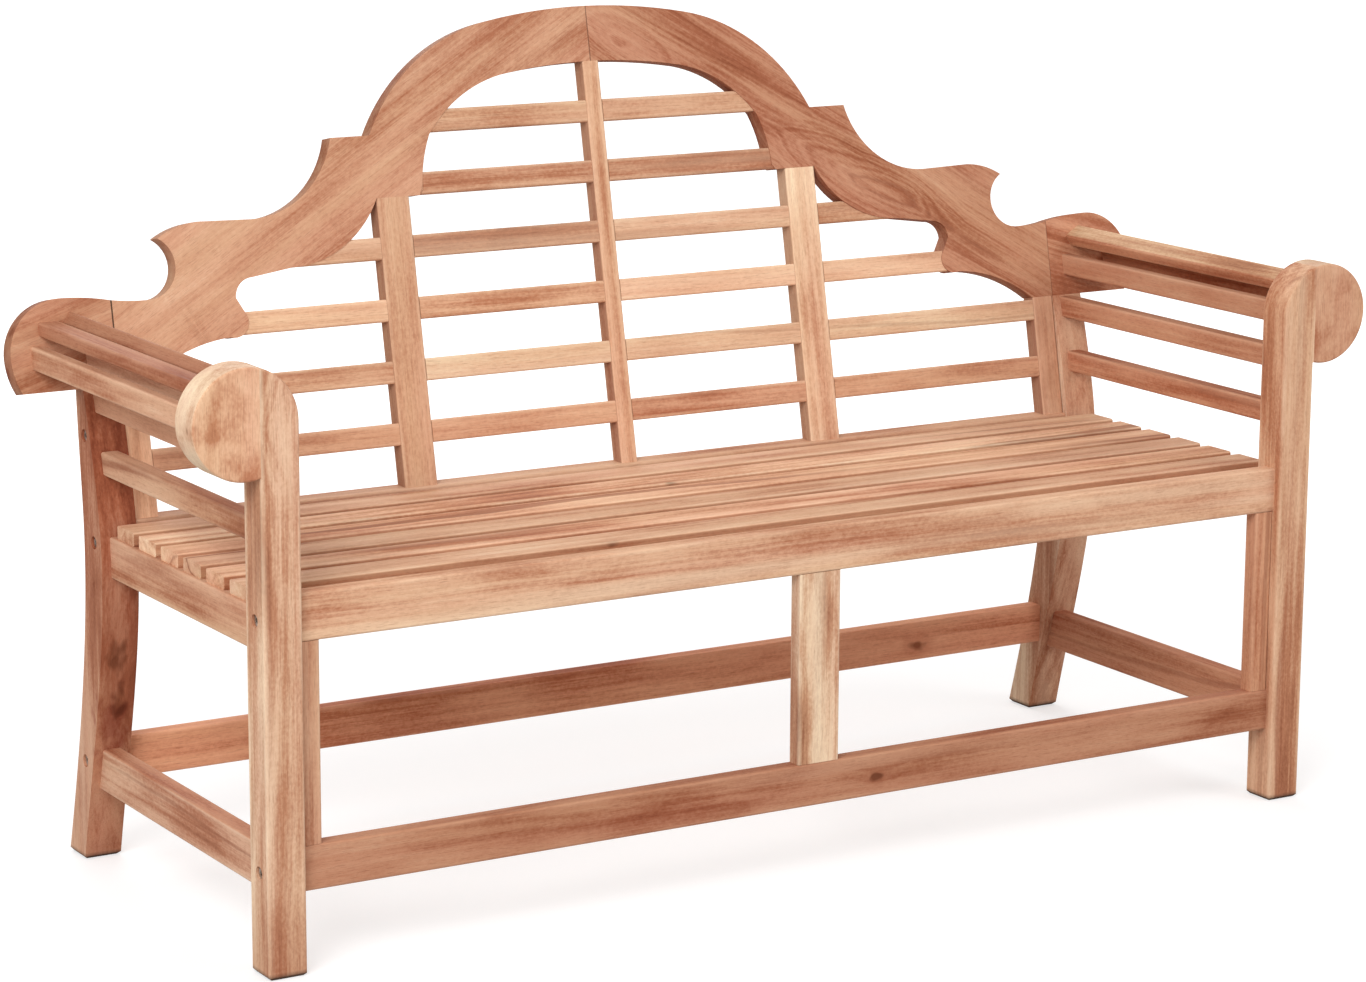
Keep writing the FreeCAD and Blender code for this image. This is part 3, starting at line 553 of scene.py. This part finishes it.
    def grain_colour(self, ring, fibre):
        """Dark and pale grain, and its drift between rosy and golden."""
        nodes, look, tone = self.nodes, self.look, self.tone
        shade = nodes.waver(EVEN_SHADE, ring, RING_SHARE * look.figure)
        shade = nodes.waver(shade, self.grain(DRIFT), DRIFT_SHARE * look.blotch)
        shade = nodes.waver(shade, self.grain(PATCH), PATCH_SHARE * look.blotch)
        shade = nodes.waver(shade, self.grain(STREAK), STREAK_SHARE * look.streaks)
        shade = nodes.waver(shade, self.grain(LINE), LINE_SHARE * look.lines)
        shade = nodes.waver(shade, fibre, FIBRE_SHARE * look.lines)
        shade = nodes.waver(shade, self.grain(MOTTLE), MOTTLE_SHARE)
        if look.cloud:
            shade = nodes.waver(shade, self.grain(CLOUD), look.cloud)
        if look.bays:
            shade = nodes.waver(shade, self.bay, 1.0)
        colour = nodes.ramp(shade, (
            (0.0, times(tone, VEIN)), (DARK_SHADE, times(tone, DARK_GRAIN)), (EVEN_SHADE, tone),
            (PALE_SHADE, times(tone, PALE_GRAIN)), (1.0, times(tone, SAPWOOD))))
        return nodes.mix(1.0, colour, nodes.mix(self.grain(HUE), ROSY, GOLDEN), "MULTIPLY")

    def marks(self, colour, vein_line, pore):
        """Sapwood, dark veins, open pores, knots and stains."""
        nodes, look, tone = self.nodes, self.look, self.tone
        pale_streak = nodes.span(self.grain(SAP_STREAK), *SAP_RANGE, 0.0, SAP_SHARE * look.sap)
        colour = nodes.mix(pale_streak, colour, times(tone, SAPWOOD))
        reach = nodes.span(self.grain(VEIN_REACH), *VEIN_REACH_RANGE, 0.0, VEIN_SHARE * look.vein)
        colour = nodes.mix(nodes.math("MULTIPLY", vein_line, reach), colour, times(tone, VEIN))
        colour = nodes.mix(nodes.math("MULTIPLY", pore, PORE_SHARE), colour, times(tone, VEIN))
        for knot in look.knots:
            away = self.ragged(knot)
            colour = nodes.mix(self.within(away, knot, KNOT_HALO), colour, times(tone, DARK_GRAIN))
            colour = nodes.mix(self.within(away, knot, KNOT_CORE), colour, times(tone, KNOT))
        for stain in look.stains:
            near = self.within(self.ragged(stain), stain, STAIN_REACH)
            colour = nodes.tint(near, colour, STAIN)
        return colour

    def rubbed_and_lit_corners(self, colour):
        """Paler wood along the long corners, partly rubbed and partly a painted highlight where they
        catch the light.
        """
        nodes = self.nodes
        half_depth, half_across = self.section
        depth, across = (nodes.math("ABSOLUTE", nodes.parts(self.place)[axis]) for axis in "YZ")
        inside = nodes.math("MAXIMUM", nodes.math("SUBTRACT", half_depth, depth),
                            nodes.math("SUBTRACT", half_across, across))
        rubbed_and_lit = nodes.math("MULTIPLY", nodes.span(inside, *RUBBED_AND_LIT_CORNER), self.grain(RUBBED_AND_LIT_PATCH))
        rubbed_and_lit = nodes.math("MULTIPLY", rubbed_and_lit, self.look.worn)
        return nodes.mix(rubbed_and_lit, colour, times(self.tone, SAPWOOD))

    def sawn_lit_and_shaded_faces(self, colour):
        """Ends and the crest's outlines, where the saw left another colour, painted light and shade on
        two opposite sides, and a painted highlight on the discs' rims.
        """
        nodes, look = self.nodes, self.look
        turned = nodes.add("ShaderNodeMapping", self.source.outputs["Normal"], vector_type="NORMAL")
        turned.inputs["Rotation"].default_value = self.turn
        facing = nodes.parts(turned.outputs["Vector"])
        end = nodes.span(nodes.math("ABSOLUTE", facing["X"]), *END_TURN, 0.0, END_STRENGTH)
        colour = nodes.tint(end, colour, look.ends)
        # Painted light and shade on two opposite faces: darker where they are shaded, paler where they
        # are lit
        if look.sides:
            side = nodes.span(nodes.math("ABSOLUTE", facing[look.sides_face]), *SIDE_TURN)
            colour = nodes.tint(side, colour, look.sides)
        # Outline faces: darker where sawn on the crest and scrolls, and a painted highlight on the discs'
        # lit rims
        if look.edge:
            outline = nodes.span(nodes.math("ABSOLUTE", facing["Y"]), *OUTLINE_TURN)
            colour = nodes.tint(outline, colour, look.edge)
        return colour

    def joints_and_feet(self, colour):
        """Dark joint lines, painted shade towards the bottom of a board, and a near-black bottom edge
        where a leg meets the floor.
        """
        nodes, look = self.nodes, self.look
        on_bench = nodes.parts(self.source.outputs["Object"])
        for seam in look.seams:
            away = nodes.math("ABSOLUTE", nodes.math("SUBTRACT", on_bench["X"], seam.across))
            line = nodes.span(away, seam.width, seam.width * SEAM_CORE, 0.0, seam.strength)
            colour = nodes.mix(line, colour, JOINT_LINE)
        # Painted shade, darker towards the bottom
        if look.grime:
            low = nodes.span(on_bench["Z"], *LOW_SHADE_HEIGHT, 0.0, look.grime)
            colour = nodes.tint(low, colour, DARK_GRAIN)
        # Near black at the very bottom of a leg
        if look.foot:
            bottom_dark = nodes.span(on_bench["Z"], *BOTTOM_DARK_HEIGHT, 0.0, BOTTOM_DARK_STRENGTH)
            colour = nodes.mix(bottom_dark, colour, BOTTOM_DARK)
        return colour

    def teak(self):
        """The finished material."""
        nodes = self.nodes
        ring, vein_line = self.rings()
        fibre = self.grain(FIBRE)
        pore = nodes.span(self.grain(PORE), *PORE_RANGE)
        colour = self.marks(self.grain_colour(ring, fibre), vein_line, pore)
        if self.look.worn:
            colour = self.rubbed_and_lit_corners(colour)
        colour = self.joints_and_feet(self.sawn_lit_and_shaded_faces(colour))
        nodes.put(nodes.shader.inputs["Base Color"], colour)
        nodes.put(nodes.shader.inputs["Roughness"], nodes.span(fibre, 0.0, 1.0, *ROUGHNESS))
        nodes.shader.inputs["Specular IOR Level"].default_value = SHINE
        relief = nodes.math("MULTIPLY_ADD", pore, PORE_RELIEF, fibre)
        relief = nodes.math("MULTIPLY_ADD", ring, RING_RELIEF, relief)
        bump = nodes.add("ShaderNodeBump")
        bump.inputs["Strength"].default_value = RELIEF_STRENGTH
        bump.inputs["Distance"].default_value = RELIEF_HEIGHT
        nodes.put(bump.inputs["Height"], relief)
        nodes.put(nodes.shader.inputs["Normal"], bump.outputs["Normal"])
        return nodes.material


def steel(name):
    """Dull steel with a little brown on it."""
    nodes = Nodes("dull_steel_" + name)
    place = nodes.add("ShaderNodeTexCoord").outputs["Object"]
    spots = nodes.vector("MULTIPLY", place, STEEL_SPOTS)
    stain = nodes.noise(spots, STEEL_DETAIL, STEEL_FINENESS)
    nodes.put(nodes.shader.inputs["Base Color"], nodes.ramp(stain, STEEL_RAMP))
    nodes.put(nodes.shader.inputs["Roughness"], nodes.span(stain, *NOISE_RANGE, *STEEL_ROUGHNESS))
    nodes.shader.inputs["Metallic"].default_value = 1.0
    return nodes.material


def finish_node(name, material, ease=0.0):
    """Give a node its material and, where its corners are sawn sharp, a small ease on them."""
    piece = NODES[name]
    piece.data.materials.clear()
    piece.data.materials.append(material)
    if ease:
        weld = piece.modifiers.new("weld", "WELD")
        weld.merge_threshold = WELD_REACH
        bevel = piece.modifiers.new("ease", "BEVEL")
        bevel.width = ease
        bevel.segments = EASE_STEPS
        bevel.limit_method = "ANGLE"
        bevel.angle_limit = EASE_ANGLE
        bevel.harden_normals = True


def dress_bench():
    """Teak on every board, its seed from its place in the list, and steel on the fasteners."""
    for seed, (name, tone, turn, special) in enumerate(BOARDS, 1):
        board = Board(name, tone, turn, special, seed)
        finish_node(name, board.teak(), board.look.ease)
    for name in FASTENERS:
        finish_node(name, steel(name))


def plain_floor():
    """A pale floor that goes white further out and keeps the bench's shadow."""
    bpy.ops.object.select_all(action="DESELECT")
    bpy.ops.mesh.primitive_plane_add(size=FLOOR_SIZE, location=(0.0, 0.0, 0.0))
    floor = bpy.context.active_object
    floor.name = "floor"
    paint = Nodes("pale_floor")
    paint.shader.inputs["Base Color"].default_value = FLOOR_TONE
    paint.shader.inputs["Roughness"].default_value = FLOOR_ROUGHNESS
    light_path = paint.add("ShaderNodeLightPath")
    away = paint.vector("LENGTH", paint.add("ShaderNodeTexCoord").outputs["Object"])
    fade = paint.span(away, *FLOOR_FADE, *FLOOR_GLOW)
    strength = paint.math("MULTIPLY", light_path.outputs["Is Camera Ray"], fade)
    glow = paint.add("ShaderNodeEmission", WHITE, strength)
    both = paint.add("ShaderNodeAddShader", paint.shader.outputs[0], glow.outputs[0])
    paint.put(paint.tree.nodes["Material Output"].inputs["Surface"], both.outputs[0])
    floor.data.materials.append(paint.material)


def studio_light():
    """A white room and three broad lamps."""
    world = bpy.data.worlds.new("studio")
    SCENE.world = world
    world.use_nodes = True
    tree = world.node_tree
    background = tree.nodes["Background"]
    background.inputs["Color"].default_value = WHITE
    light_path = tree.nodes.new("ShaderNodeLightPath")
    strength = tree.nodes.new("ShaderNodeMapRange")
    tree.links.new(light_path.outputs["Is Camera Ray"], strength.inputs["Value"])
    strength.inputs["To Min"].default_value = WORLD_LIGHT
    strength.inputs["To Max"].default_value = WORLD_WHITE
    tree.links.new(strength.outputs[0], background.inputs["Strength"])
    for name, place, target, size, power in LAMPS:
        lamp = bpy.data.lights.new(name, "AREA")
        lamp.shape = "DISK"
        lamp.size = size
        lamp.energy = power
        holder = bpy.data.objects.new(name, lamp)
        SCENE.collection.objects.link(holder)
        holder.location = place
        holder.rotation_euler = (Vector(target) - Vector(place)).to_track_quat("-Z", "Y").to_euler()


def photo_camera():
    """The camera where the photograph was taken from."""
    forward = Vector((math.sin(CAMERA_YAW) * math.cos(CAMERA_PITCH),
                      math.cos(CAMERA_YAW) * math.cos(CAMERA_PITCH), -math.sin(CAMERA_PITCH)))
    level = Vector((math.cos(CAMERA_YAW), -math.sin(CAMERA_YAW), 0.0))
    down = forward.cross(level)
    right = level * math.cos(CAMERA_ROLL) + down * math.sin(CAMERA_ROLL)
    up = level * math.sin(CAMERA_ROLL) - down * math.cos(CAMERA_ROLL)
    data = bpy.data.cameras.new("photo_view")
    data.sensor_fit = "HORIZONTAL"
    data.sensor_width = SENSOR_WIDTH
    data.lens = FOCAL_PIXELS / PHOTO_WIDTH * SENSOR_WIDTH
    data.clip_end = FAR_CLIP
    camera = bpy.data.objects.new("photo_view", data)
    SCENE.collection.objects.link(camera)
    turn = Matrix((right, up, -forward)).transposed()
    camera.matrix_world = Matrix.Translation(CAMERA_PLACE) @ turn.to_4x4()
    SCENE.camera = camera


SCENE.view_settings.view_transform = "Standard"
dress_bench()
plain_floor()
studio_light()
photo_camera()
